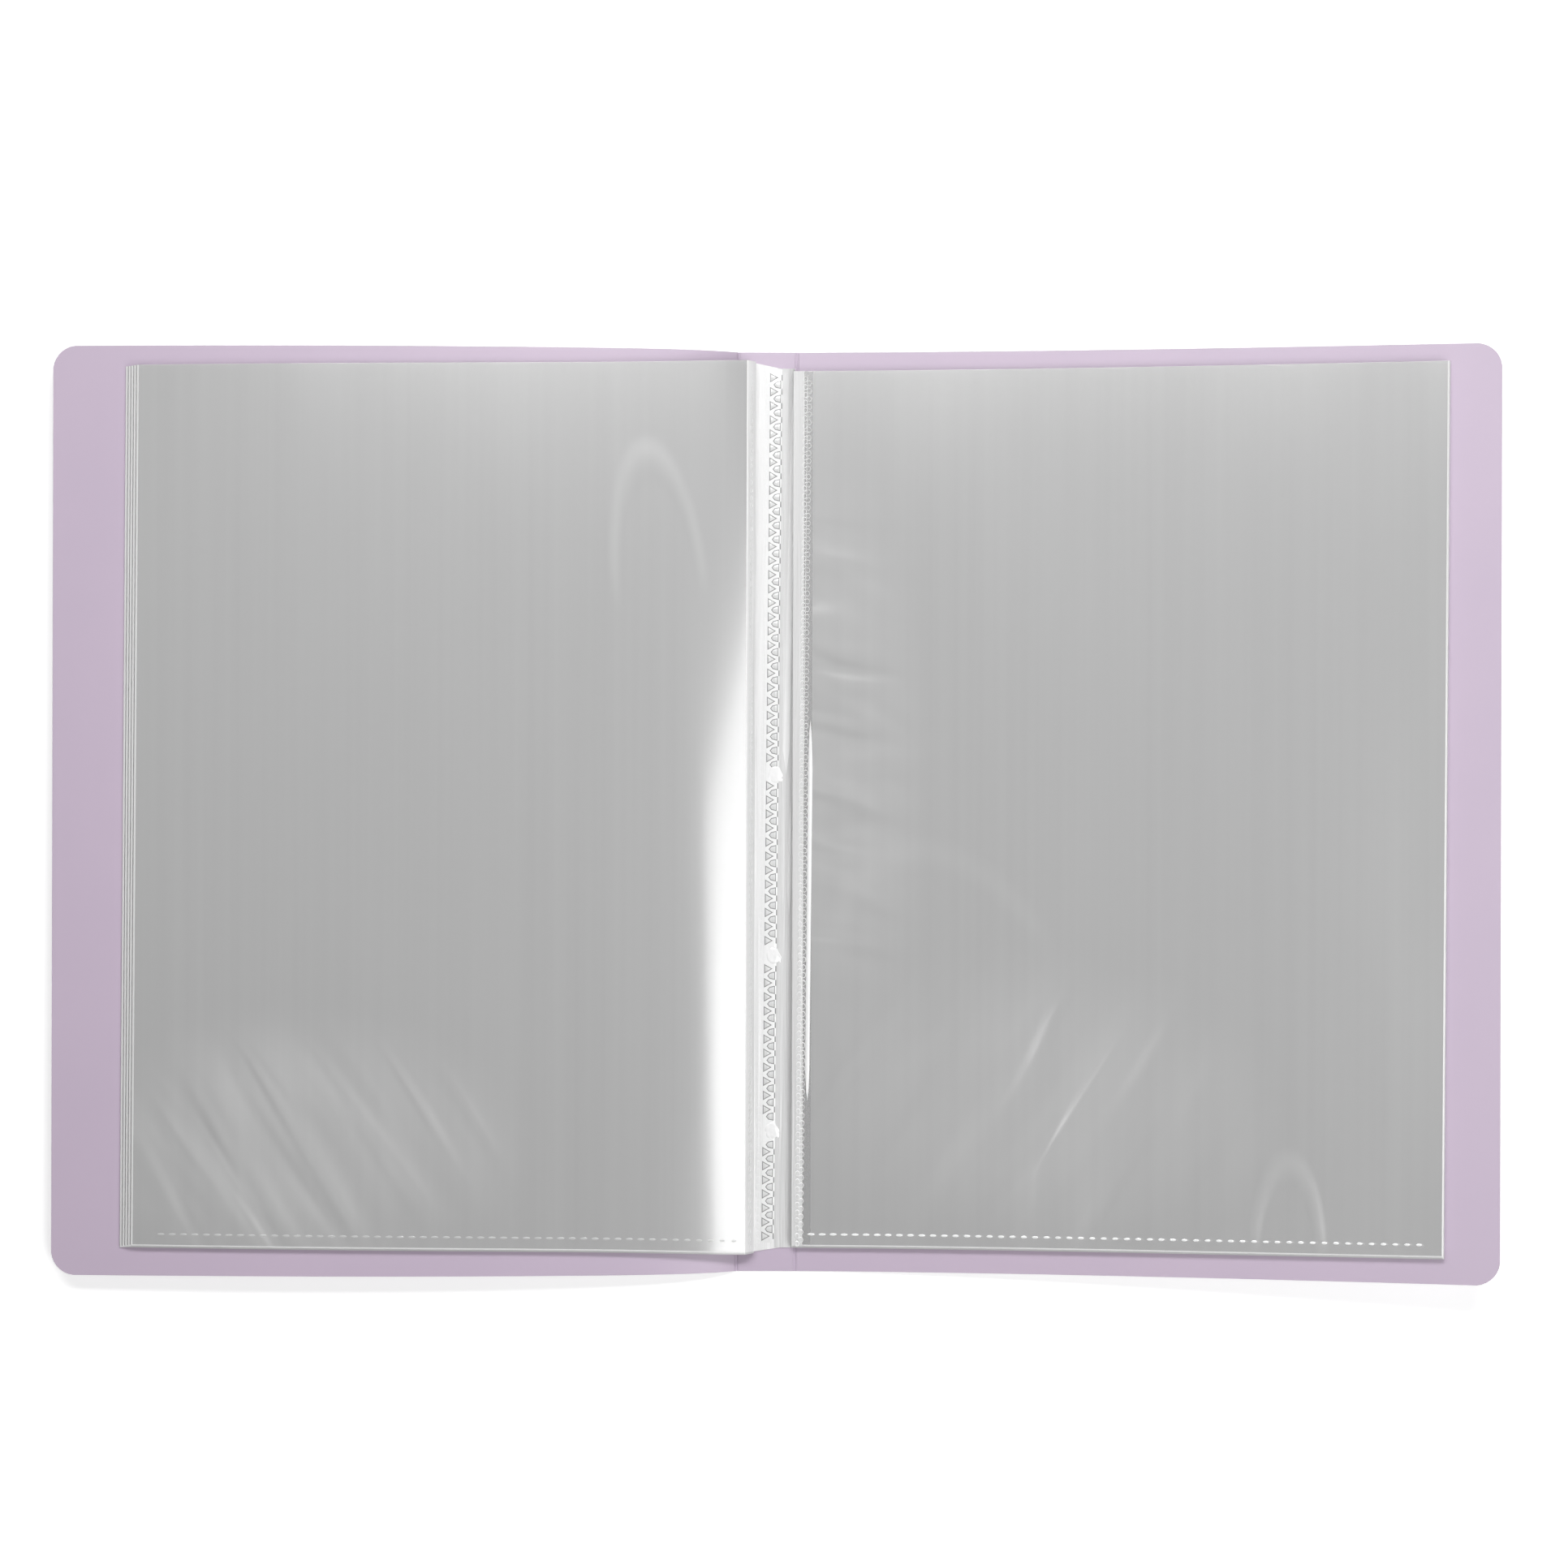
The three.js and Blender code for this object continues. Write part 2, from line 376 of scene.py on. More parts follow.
# %% [markdown]
# ## Lilac polypropylene sheet
#
# The cover is extruded polypropylene, tinted lilac. A roller has pressed a very fine grain
# into it, so it has a soft sheen and no clear reflections, and it lets a little light through.


# %% Material: embossed lilac polypropylene
PLASTIC_IOR = 1.49


def lilac_polypropylene():
    """Satin, slightly cloudy lilac sheet with the grain of the roller."""
    material, tree = new_material("embossed_lilac_polypropylene")
    place = add_node(tree, "ShaderNodeTexCoord")
    # The real grain is about 0.2 mm, too fine for the render, so it is drawn at 0.8 mm.
    grain = add_node(
        tree,
        "ShaderNodeTexNoise",
        {"Vector": place.outputs["Object"], "Scale": 1250.0, "Detail": 2.0, "Roughness": 0.6},
    )
    # Slow waves of the extruder, about 60 mm long, make the tint a little uneven.
    cloud = add_node(
        tree,
        "ShaderNodeTexNoise",
        {"Vector": place.outputs["Object"], "Scale": 16.0, "Detail": 3.0, "Roughness": 0.5},
    )
    sheen = add_node(
        tree,
        "ShaderNodeMapRange",
        {"Value": grain.outputs["Fac"], "To Min": 0.36, "To Max": 0.5},
    )
    surface = {
        "Base Color": mixed_tint(tree, cloud.outputs["Fac"], "c6b7cb", "cfbed1"),
        "Roughness": sheen.outputs["Result"],
        "Normal": relief_of(tree, grain.outputs["Fac"], 0.25, 0.02 * MM),
        "IOR": PLASTIC_IOR,
        "Alpha": 0.94,
    }
    add_surface(tree, surface)
    return material


cover_plastic = lilac_polypropylene()
print("cover plastic:", len(cover_plastic.node_tree.nodes), "nodes")


# %% [markdown]
# ## Clear pocket film
#
# Each pocket is polypropylene film about 0.1 mm thick. One layer is clear with a faint haze,
# and it is glossy. Ten layers on each other send back so much light that the pile looks grey.
# The film gets a low opacity, so that the pile makes its own grey. Fine drawing lines along the
# book are a little hazier. The top film of each pile also has a relief, with three parts: slow
# waves, wrinkles out of the corners and the seam, and a few soft creases where it was bent. Its
# wrinkles and creases are also painted a shade lighter, as a painted highlight of their ridges.


# %% Creases, patches and drawn-out noise
def ellipse_view(tree, place, centre, size, turn):
    """A place on the book as an ellipse sees it, and how many half axes it lies from its middle."""
    spot = add_node(
        tree,
        "ShaderNodeMapping",
        {
            "Vector": place.outputs["Object"],
            "Location": (centre[0] * MM, centre[1] * MM, 0),
            "Rotation": (0, 0, math.radians(turn)),
            "Scale": (size[0] * MM, size[1] * MM, 1),
        },
        vector_type="TEXTURE",
    )
    level = {0: spot.outputs["Vector"], 1: (1, 1, 0)}
    flat = add_node(tree, "ShaderNodeVectorMath", level, operation="MULTIPLY").outputs["Vector"]
    reach = add_node(tree, "ShaderNodeVectorMath", {0: flat}, operation="LENGTH")
    return flat, reach.outputs["Value"]


def faded(tree, value, **limits):
    """The value brought softly from its limits to 0 and 1."""
    inputs = {"Value": value}
    for key, limit in limits.items():
        inputs[key.replace("_", " ").title()] = limit
    step = add_node(tree, "ShaderNodeMapRange", inputs, interpolation_type="SMOOTHSTEP")
    return step.outputs["Result"]


def arc_crease(tree, place, centre, size, turn, width, part):
    """Height from 0 to 1 along an arc of an ellipse, as a film keeps it where it was bent.

    The centre and the half axes are in mm, part is the share of the ellipse that shows, and
    the shown part is the one towards +Y after the ellipse is turned by the angle in degrees.
    """
    flat, reach = ellipse_view(tree, place, centre, size, turn)
    off = calculated(tree, "SUBTRACT", reach, 1.0)
    off = calculated(tree, "ABSOLUTE", off)
    ridge = faded(tree, off, from_max=width, to_min=1.0, to_max=0.0)
    sides = add_node(tree, "ShaderNodeSeparateXYZ", {"Vector": flat})
    start = 1 - 2 * part
    shown = faded(tree, sides.outputs["Y"], from_min=start, from_max=start + 0.5)
    return times(tree, ridge, shown)


def stretched_noise(tree, place, stretch, scale, turn=0.0, detail=2.0, distortion=0.0):
    """Noise in metres of the object, drawn out along X and Y after a turn by degrees."""
    pulled = add_node(
        tree,
        "ShaderNodeMapping",
        {
            "Vector": place.outputs["Object"],
            "Rotation": (0, 0, math.radians(turn)),
            "Scale": (*stretch, 1),
        },
        vector_type="TEXTURE",
    )
    noise = add_node(
        tree,
        "ShaderNodeTexNoise",
        {
            "Vector": pulled.outputs["Vector"],
            "Scale": scale,
            "Detail": detail,
            "Roughness": 0.5,
            "Distortion": distortion,
        },
    )
    return noise.outputs["Fac"]


def patch(tree, place, centre, size, turn=0.0):
    """1 inside an ellipse on the book, fading to 0 at its edge. All in mm and degrees."""
    reach = ellipse_view(tree, place, centre, size, turn)[1]
    return faded(tree, reach, from_min=0.3, to_min=1.0, to_max=0.0)


# %% Materials: glossy clear film and its welds
FILM_GREY = "c4c4c4"


def film_shader(tree, tint, **more):
    """The gloss of the film. A pile of films mirrors more than one film does."""
    inputs = {
        "Base Color": tint,
        "Roughness": 0.2,
        "IOR": 1.7,
        "Specular IOR Level": 1.0,
        "Coat Weight": 1.0,
        "Coat IOR": 1.7,
        "Coat Roughness": 0.13,
        "Alpha": 0.35,
    }
    inputs.update(more)
    add_surface(tree, inputs)


def clear_film():
    """Glossy film with a little haze and drawing lines, as it lies inside the pile."""
    material, tree = new_material("clear_polypropylene_film")
    place = add_node(tree, "ShaderNodeTexCoord")
    # Drawing lines run down the whole film, a few millimetres apart. They are slightly hazier.
    lines = stretched_noise(tree, place, (1, 100), 240.0, detail=2.0)
    film_shader(tree, mixed_tint(tree, lines, FILM_GREY, "cacaca"))
    return material


def creased_film():
    """The top face of each pile, which hands have turned: it has soft waves and creases too."""
    material, tree = new_material("creased_clear_polypropylene_film")
    place = add_node(tree, "ShaderNodeTexCoord")
    lines = stretched_noise(tree, place, (1, 100), 240.0, detail=2.0)
    # Waves about 60 mm long, stretched along the book, as the film slackens between its welds.
    waves = stretched_noise(tree, place, (1, 2.5), 17.0, detail=1.0)
    # Wrinkles run slantwise out of the bottom corners and out of the seam on the right side.
    wrinkles = [
        times(
            tree,
            stretched_noise(tree, place, (1, 6), 75.0, turn=32, detail=1.0, distortion=0.5),
            patch(tree, place, (-160, -118), (85, 52)),
        ),
        times(
            tree,
            stretched_noise(tree, place, (1, 5), 60.0, turn=-28, detail=1.0, distortion=0.6),
            times(tree, patch(tree, place, (85, -105), (95, 60)), 0.75),
        ),
        times(
            tree,
            stretched_noise(tree, place, (3, 1), 70.0, turn=-14, detail=1.0, distortion=0.6),
            times(tree, patch(tree, place, (24, 12), (34, 110)), 0.5),
        ),
    ]
    wrinkles = summed(tree, wrinkles)
    bends = [
        arc_crease(tree, place, (-37, 78), (15, 44), 6, 0.20, 0.62),
        times(tree, arc_crease(tree, place, (64, -72), (40, 60), 20, 0.14, 0.5), 0.4),
        arc_crease(tree, place, (178, -150), (11, 30), 0, 0.25, 0.6),
    ]
    bends = summed(tree, bends)
    relief = summed(tree, [waves, times(tree, wrinkles, 1.9), times(tree, bends, 0.08)])
    # Drawing lines are a shade hazier. Along the wrinkles and the creases the lighter tint is a painted
    # highlight of their ridges.
    haze_and_painted_highlight = summed(
        tree, [times(tree, lines, 0.16), times(tree, wrinkles, 0.6), times(tree, bends, 0.2)]
    )
    tint = mixed_tint(tree, haze_and_painted_highlight, FILM_GREY, "f2f2f2")
    film_shader(tree, tint, Normal=relief_of(tree, relief, 1.0, 1.6 * MM), Alpha=0.6)
    return material


def folded_film_and_painted_highlight():
    """Film at a fold or a cut edge: whiter and less clear, partly as bent film whitens and partly a
    painted highlight where the edge catches the light.
    """
    material, tree = new_material("folded_polypropylene_edge_and_painted_highlight")
    surface = {
        "Base Color": colour("f0f0f0"),
        "Roughness": 0.3,
        "IOR": PLASTIC_IOR,
        "Coat Weight": 0.5,
        "Alpha": 0.8,
    }
    add_surface(tree, surface)
    return material


def melted_film(name, alpha):
    """Film that the welding tool has melted: whiter, thicker and glossy."""
    material, tree = new_material(name)
    place = add_node(tree, "ShaderNodeTexCoord")
    # Small dimples of the tool, about 1 mm apart.
    dimples = stretched_noise(tree, place, (1, 1), 1000.0, detail=1.0)
    surface = {
        "Base Color": colour("fafafa"),
        "Roughness": 0.22,
        "Normal": relief_of(tree, dimples, 0.4, 0.1 * MM),
        "IOR": PLASTIC_IOR,
        "Coat Weight": 0.6,
        "Alpha": alpha,
    }
    add_surface(tree, surface)
    return material


def gathered_film(name, dark, light):
    """Many layers of film pressed together: whiter than one layer, and glossy."""
    material, tree = new_material(name)
    place = add_node(tree, "ShaderNodeTexCoord")
    # Long thin waves down the gutter, a few millimetres apart.
    waves = stretched_noise(tree, place, (1, 30), 600.0, distortion=0.5)
    surface = {
        "Base Color": mixed_tint(tree, waves, dark, light),
        "Roughness": 0.25,
        "Normal": relief_of(tree, waves, 1.0, 0.4 * MM),
        "IOR": PLASTIC_IOR,
        "Coat Weight": 0.4,
        "Alpha": 0.92,
    }
    add_surface(tree, surface)
    return material


def pressed_groove_painted_shade():
    """The narrow groove that the tool presses round an island, painted dark grey as the shade in it."""
    material, tree = new_material("pressed_weld_groove_painted_shade")
    surface = {"Base Color": colour("8c8c8c"), "Roughness": 0.35, "IOR": PLASTIC_IOR}
    add_surface(tree, surface)
    return material


pocket_film = clear_film()
top_film = creased_film()
fold_film_and_painted_highlight = folded_film_and_painted_highlight()
weld_film = melted_film("melted_polypropylene_weld", 0.95)
faint_weld_film = melted_film("lightly_melted_polypropylene_weld", 0.4)
# The gathered film in the gutter is nearly white, partly from its many layers and partly as a painted
# glare.
gutter_film_and_painted_glare = gathered_film("gathered_polypropylene_film_and_painted_glare", "f0f0f0", "fcfcfc")
margin_film = gathered_film("single_polypropylene_margin", "dadada", "e8e8e8")
island_film = gathered_film("unmelted_polypropylene_island", "dedede", "ececec")
groove_painted_shade = pressed_groove_painted_shade()
films = [pocket_film, top_film, fold_film_and_painted_highlight, weld_film, faint_weld_film]
films += [gutter_film_and_painted_glare, margin_film, island_film, groove_painted_shade]
print("films:", [film.name for film in films])

# %% [markdown]
# ## The cover
#
# The sheet is cut into a front panel, a spine and a back panel, which turn against each other,
# and two short strips where it bends at the creases. Each is pulled from an edge and gets its
# thickness, and the panels and the spine then a small bevel, because a punched sheet has no knife
# edges.

# %% Cover panels
CORNER_RADIUS = 8.5 * MM
CORNER_CUTS = 7
CREASE_HALF = 0.7 * MM
EDGE_ROUND = 0.14 * MM


def round_corner(centre_x, centre_y, side_x, side_y):
    """Cuts a corner of the sheet in edit mode with planes that touch the same circle."""
    for cut in range(1, CORNER_CUTS + 1):
        angle = math.pi / 2 * cut / (CORNER_CUTS + 1)
        normal = (side_x * math.cos(angle), side_y * math.sin(angle), 0)
        touch = (centre_x + CORNER_RADIUS * normal[0], centre_y + CORNER_RADIUS * normal[1], 0)
        bpy.ops.mesh.select_all(action="SELECT")
        bpy.ops.mesh.bisect(plane_co=touch, plane_no=normal, clear_outer=True)


def cover_ends(x):
    """The cover is equally high everywhere."""
    return COVER_BOTTOM, COVER_TOP


def finish_cover_sheet(sheet):
    """Gives a flat piece of the cover its thickness, its rounded edges and its finish."""
    apply_modifier(sheet, "SOLIDIFY", thickness=SHEET, offset=0)
    apply_modifier(sheet, "BEVEL", width=EDGE_ROUND, segments=2, limit_method="ANGLE")
    finish_piece(sheet)
    apply_modifier(sheet, "WEIGHTED_NORMAL", keep_sharp=True)
    paint(sheet, cover_plastic)


def cover_panel(name, side, inner, outer, panel_z):
    """One bent panel with two round outer corners, from x inner to x outer."""
    outline = [(x, panel_z(x) + SHEET / 2) for x in closer_at_start(inner, outer, 22)]
    panel = pulled_sheet(name, outline, cover_ends, 16)
    bpy.ops.object.mode_set(mode="EDIT")
    centre_x = outer - side * CORNER_RADIUS
    round_corner(centre_x, COVER_TOP - CORNER_RADIUS, side, 1)
    round_corner(centre_x, COVER_BOTTOM + CORNER_RADIUS, side, -1)
    bpy.ops.object.mode_set(mode="OBJECT")
    finish_cover_sheet(panel)
    return panel


front_cover = cover_panel(
    "front_cover_sheet", -1, FRONT_CREASE - CREASE_HALF, FRONT_EDGE, front_panel_z
)
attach(front_cover, "front_cover")
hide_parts("front_cover")
back_cover = cover_panel("back_cover_sheet", 1, BACK_CREASE + CREASE_HALF, BACK_EDGE, back_panel_z)
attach(back_cover, "back_cover")
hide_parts("back_cover")
print("cover panels:", len(front_cover.data.polygons), "and", len(back_cover.data.polygons), "faces")


# %% Spine and creases
def spine_sheet():
    """The spine panel between the two creases."""
    outline = [
        (x, SHEET / 2) for x in in_steps(FRONT_CREASE + CREASE_HALF, BACK_CREASE - CREASE_HALF, 8)
    ]
    spine = pulled_sheet("spine_sheet", outline, cover_ends, 16)
    finish_cover_sheet(spine)
    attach(spine, "spine")
    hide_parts("spine_panel")
    return spine


CREASE_DEPTH = 0.2 * MM


def crease_strip(name, crease_x, side, panel_z):
    """The bending strip at a crease, with the groove that the creasing rule pressed into it."""
    outline = [
        (x, panel_z(x) + SHEET / 2)
        for x in in_steps(crease_x - side * CREASE_HALF, crease_x + side * CREASE_HALF, 8)
    ]
    strip = pulled_sheet(name, outline, cover_ends, 16)
    apply_modifier(strip, "SOLIDIFY", thickness=SHEET, offset=0)
    bpy.ops.object.mode_set(mode="EDIT")
    groove = CREASE_HALF * 0.3
    select_where(
        "VERT",
        lambda co: abs(co.x - crease_x) < groove and co.z > panel_z(co.x) + SHEET / 2,
    )
    move(z=-CREASE_DEPTH)
    finish_piece(strip)
    paint(strip, cover_plastic)
    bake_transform(strip)
    return strip


spine = spine_sheet()
front_crease = crease_strip("front_crease", FRONT_CREASE, -1, front_panel_z)
back_crease = crease_strip("back_crease", BACK_CREASE, 1, back_panel_z)
print("spine and creases:", len(spine.data.polygons), len(front_crease.data.polygons))

# %% [markdown]
# ## The pockets
#
# A pocket is one piece of film that runs out from its root, turns back on itself at the outer
# edge and comes back to the root. So its outline is pulled as one sheet, and the mouth stays
# open at the top. In the left pile each leaf climbs steeply out of the gutter up to a crest,
# and its outer edge ends a little short of the one below. All leaves were welded in a little
# askew, so their edges lean against those of the cover.

# %% How the leaves lie
FILM = 0.1 * MM
POCKET_GAP = 0.3 * MM
ROOT_CLOSE = 5 * MM
FLANK_RUN = 2.6 * MM
FLANK_RISE = 3.6 * MM
FRONT_ARCH = 6.2 * MM
FRONT_ARCH_RUN = 9 * MM
FRONT_OUTER = -221.35 * MM
BACK_OUTER = 231.4 * MM
FRONT_STAGGER = 1.15 * MM
BACK_STAGGER = 0.25 * MM
BOTTOM_STAGGER = 0.3 * MM
LEAN = math.tan(math.radians(0.26))
LEAN_RUN = 40 * MM
WELD_LEAN = 0.0078
SEAM_REACH = 3.0 * MM
FRONT_CREST = FRONT_ROOT - FLANK_RUN
DRAWN_DOWN = 1.4 * MM
DRAWN_UP = 1.9 * MM
ZIGZAG_LOW, ZIGZAG_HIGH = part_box("zigzag_weld")


def front_leaf_z(x):
    """Height of the lowest left leaf: a steep flank up to the crest, then a soft arch."""
    reach = max(FRONT_ROOT - x, 0)
    flank = FLANK_RISE * min(reach / FLANK_RUN, 1)
    beyond = max(reach - FLANK_RUN, 0)
    arch = (FRONT_ARCH - FLANK_RISE) * (1 - math.exp(-beyond / FRONT_ARCH_RUN))
    return ROOT_Z + flank + arch + front_bow(x)


def back_leaf_z(x):
    """Height of the underside of the lowest right leaf, which lies on the hollow back panel."""
    return ROOT_Z + back_panel_z(x)


def front_flare(x):
    """How much farther the left film reaches at both ends. It is pulled tight at the crest."""
    share = (x - FRONT_OUTER) / (FRONT_ROOT - FRONT_OUTER)
    return (-1.6 + 1.9 * share + 1.6 * share**6) * MM


def front_ends(x):
    """Where the left leaves end at this x."""
    return LEAF_BOTTOM - front_flare(x), LEAF_TOP + front_flare(x)


def gutter_ends(x):
    """Where the film in the gutter ends: its left side is drawn out by the left leaves."""
    share = min(max((ZIGZAG_HIGH.x - x) / (ZIGZAG_HIGH.x - FRONT_ROOT), 0), 1)
    return LEAF_BOTTOM - DRAWN_DOWN * share, LEAF_TOP + DRAWN_UP * share


def back_ends(x):
    """Where the right leaves end. They sit a little lower."""
    share = (x - BACK_ROOT) / (BACK_OUTER - BACK_ROOT)
    return LEAF_BOTTOM + 0.5 * MM * share**4, LEAF_TOP - 1.4 * MM + 0.7 * MM * share


def weld_lean(x):
    """Lean of the welds in the gutter, which were made in one go."""
    return WELD_LEAN


class Side:
    """One pile of leaves: which way it lies, and where its leaves start, lie and end."""

    def __init__(self, sign, root, outer, stagger, leaf_z, ends):
        self.sign = sign
        self.root = root
        self.outer = outer
        self.stagger = stagger
        self.leaf_z = leaf_z
        self.ends = ends

    def leaf_outer(self, level):
        """x of the outer edge of the leaf on this level, 0 next to the cover."""
        return self.outer - self.sign * self.stagger * level

    def lean(self, x):
        """The root is straight, as a leaf turns about it, and the rest of the leaf leans."""
        return LEAN * min(abs(x - self.root) / LEAN_RUN, 1)

    def straight_x(self, co):
        """x of a place before the sheet got its lean."""
        return co.x - self.lean(co.x) * co.y

    def top_face(self, x):
        """Thickness of a pocket at x. The films lie closer together at the welded root."""
        share = min(abs(x - self.root) / ROOT_CLOSE, 1)
        return FILM * 2 + POCKET_GAP * (0.2 + 0.8 * share)

    def film_z(self, x, level, height=0.0):
        """Height over the table, at x, of a place this far above a leaf's underside."""
        return self.leaf_z(x) + level * LEAF_PITCH + height

    def leaf_ends(self, level):
        """The ends of the leaf on this level. The upper leaves end a little shorter."""

        def ends(x):
            bottom, top = self.ends(x)
            return bottom + BOTTOM_STAGGER * level, top

        return ends


front_side = Side(-1, FRONT_ROOT, FRONT_OUTER, FRONT_STAGGER, front_leaf_z, front_ends)
back_side = Side(1, BACK_ROOT, BACK_OUTER, BACK_STAGGER, back_leaf_z, back_ends)
print("the left leaves climb", round(FLANK_RISE / MM, 1), "mm within", round(FLANK_RUN / MM, 1), "mm")


# %% One pocket of film
FOLD_WIDTH = 0.5 * MM
CREST_LINE = 0.4 * MM
BORDER = 0.45 * MM
TOP_LEAVES = (5, 6)
CUT_LEAF = 6
FOLD_STEPS = (1, 2, 3)


def pocket(number, side, level):
    """The folded film of one leaf, from its root, round its outer edge and back."""
    lower = FILM / 2
    upper = FILM * 1.5 + POCKET_GAP
    turn = (upper - lower) / 2
    edge = side.leaf_outer(level)
    outer = edge - side.sign * turn
    if side.sign < 0:
        out = in_steps(side.root, FRONT_CREST, 3)
        out += closer_at_ends(FRONT_CREST - CREST_LINE, outer + FOLD_WIDTH, 34)
    else:
        out = closer_at_ends(side.root, outer - FOLD_WIDTH, 36)
    out.append(outer)
    outline = [(x, side.film_z(x, level, lower)) for x in out]
    middle_z = side.film_z(outer, level, lower + turn)
    for step in FOLD_STEPS:
        angle = math.pi / 2 * (step / 2 - 1)
        outline.append(
            (outer + side.sign * turn * math.cos(angle), middle_z + turn * math.sin(angle))
        )
    for x in reversed(out):
        outline.append((x, side.film_z(x, level, side.top_face(x) - FILM / 2)))
    name = f"leaf_{number:02d}_pocket"
    film = pulled_sheet(name, outline, side.leaf_ends(level), 30, side.lean, BORDER)
    if number == CUT_LEAF:
        cut_corner(outer)
    apply_modifier(film, "SOLIDIFY", thickness=FILM, offset=0)
    finish_piece(film, 60)
    root_film_and_painted_glare = gutter_film_and_painted_glare if side.sign < 0 else margin_film
    paint(film, pocket_film, fold_film_and_painted_highlight, root_film_and_painted_glare, weld_film, top_film)
    if number in TOP_LEAVES:

        def on_crown(co):
            """Whether a face is on the upper side of the upper film."""
            x = side.straight_x(co)
            return co.z > side.film_z(x, level, side.top_face(x) - FILM / 4)

        paint_where(film, 4, on_crown)
    if side.sign > 0:
        paint_where(film, 2, lambda co: co.x < BACK_ROOT + SEAM_REACH)
    # The outer fold and the bottom border take the whiter fold finish, partly a painted highlight of the
    # edges.
    paint_where(film, 1, lambda co: abs(side.straight_x(co) - edge) < FOLD_WIDTH + turn)
    ends = side.leaf_ends(level)
    paint_where(film, 1, lambda co: co.y < ends(side.straight_x(co))[0] + BORDER)
    if side.sign < 0:
        # On the left the flank from the crest down to the root takes the nearly white gathered film, as
        # a painted glare.
        paint_where(film, 2, lambda co: co.x > FRONT_CREST)
        # A narrow line on the crest takes the white weld finish, as a painted highlight of the fold.
        paint_where(film, 3, lambda co: abs(co.x - FRONT_CREST + CREST_LINE / 2) < 0.15 * MM)
    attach(film, f"leaf_{number:02d}")
    prefix = f"leaf_{number:02d}_"
    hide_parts(prefix + "front_film", prefix + "rear_film", prefix + "outer_fold")
    return film


CHAMFER_ACROSS = 2.5 * MM
CHAMFER_ALONG = 5 * MM


def cut_corner(outer):
    """Cuts the outer top corner of the top right leaf, as it is cut on the real one."""
    bpy.ops.object.mode_set(mode="EDIT")
    bpy.ops.mesh.select_all(action="SELECT")
    top = back_side.ends(outer)[1]
    corner = (outer + LEAN * top, top - CHAMFER_ALONG, 0)
    bpy.ops.mesh.bisect(
        plane_co=corner, plane_no=(CHAMFER_ALONG, CHAMFER_ACROSS, 0), clear_outer=True
    )
    bpy.ops.object.mode_set(mode="OBJECT")


LEVELS = range(5)
leaves = [(1 + level, front_side, level) for level in LEVELS]
leaves += [(10 - level, back_side, level) for level in LEVELS]
pockets = {number: pocket(number, side, level) for number, side, level in leaves}
print("pockets:", len(pockets), "of", len(pockets[5].data.polygons), "faces")

# %% [markdown]
# ## The welds of a pocket
#
# A heated bar with short teeth closes the bottom of each pocket: it leaves a row of small
# lens-shaped dashes. A second tool closes the side next to the gutter with rings. One dash and
# one ring are modelled, and the rows are made of copies.

# %% Bottom weld of dashes
DASH_PITCH = 3.9 * MM
DASH_LENGTH = 3.0 * MM
DASH_WIDTH = 1.0 * MM
DASH_HEIGHT = 0.3 * MM
DASHES_FROM_ROOT = 7 * MM
DASHES_FROM_EDGE = 3 * MM
DASH_UP = (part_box("leaf_01_bottom_weld")[0].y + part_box("leaf_01_bottom_weld")[1].y) / 2 - LEAF_BOTTOM


def bottom_weld(number, side, level):
    """A row of dashes along the bottom of a leaf, through its upper film."""
    inner = side.root + side.sign * DASHES_FROM_ROOT
    outer = side.leaf_outer(level) - side.sign * DASHES_FROM_EDGE
    count = int(abs(outer - inner) / DASH_PITCH)
    ends = side.leaf_ends(level)
    height = FILM * 2 + POCKET_GAP - DASH_HEIGHT * 0.2
    places = []
    for place in range(count):
        x = inner + side.sign * DASH_PITCH * place
        y = ends(x)[0] + DASH_UP
        places.append((x + side.lean(x) * y, y, side.film_z(x, level, height)))
    weld = start_piece(
        f"leaf_{number:02d}_dash_weld",
        bpy.ops.mesh.primitive_uv_sphere_add,
        segments=8,
        ring_count=4,
        radius=0.5,
        scale=(DASH_LENGTH, DASH_WIDTH, DASH_HEIGHT),
        location=places[0],
    )
    repeat_along(places)
    finish_piece(weld)
    paint(weld, faint_weld_film if side.sign < 0 else weld_film)
    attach(weld, f"leaf_{number:02d}")
    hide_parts(f"leaf_{number:02d}_bottom_weld")
    return weld


bottom_welds = [bottom_weld(number, side, level) for number, side, level in leaves]
print("bottom welds:", len(bottom_welds), "of", len(bottom_welds[0].data.polygons), "faces")

# %% Rows of rings
RING_PITCH = 2.7 * MM
RING_LENGTH = 2.2 * MM
RING_WIDTH = 1.8 * MM
RING_TUBE = 0.16 * MM
FAINT_TUBE = 0.12 * MM


def ring_row(name, x, z, bottom, top, lean=0.0, tilt=0.0, tube=RING_TUBE):
    """A row of rings that leans sideways, each ring tilted by degrees."""
    place = (x + lean * bottom, bottom, z)
    row = start_piece(
        name,
        bpy.ops.mesh.primitive_torus_add,
        major_segments=8,
        minor_segments=3,
        major_radius=RING_WIDTH / 2 - tube,
        minor_radius=tube,
        location=place,
    )
    stretch = RING_LENGTH / RING_WIDTH
    bpy.ops.transform.resize(value=(1, stretch, 1), center_override=place)
    bpy.ops.transform.rotate(value=-math.radians(tilt), orient_axis="Y", center_override=place)
    bpy.ops.object.mode_set(mode="OBJECT")
    apply_modifier(
        row,
        "ARRAY",
        count=int((top - bottom) / RING_PITCH),
        use_relative_offset=False,
        use_constant_offset=True,
        constant_offset_displace=(lean * RING_PITCH, RING_PITCH, 0),
    )
    return row


def join_pieces(first, *others):
    """Makes one piece of several."""
    bpy.ops.object.select_all(action="DESELECT")
    for other in others:
        other.select_set(True)
    first.select_set(True)
    bpy.context.view_layer.objects.active = first
    bpy.ops.object.join()
    return first


# %% Spine seam of each leaf
ROW_APART = 1.35 * MM
FLANK_TILT = math.degrees(math.atan2(FLANK_RISE, FLANK_RUN))


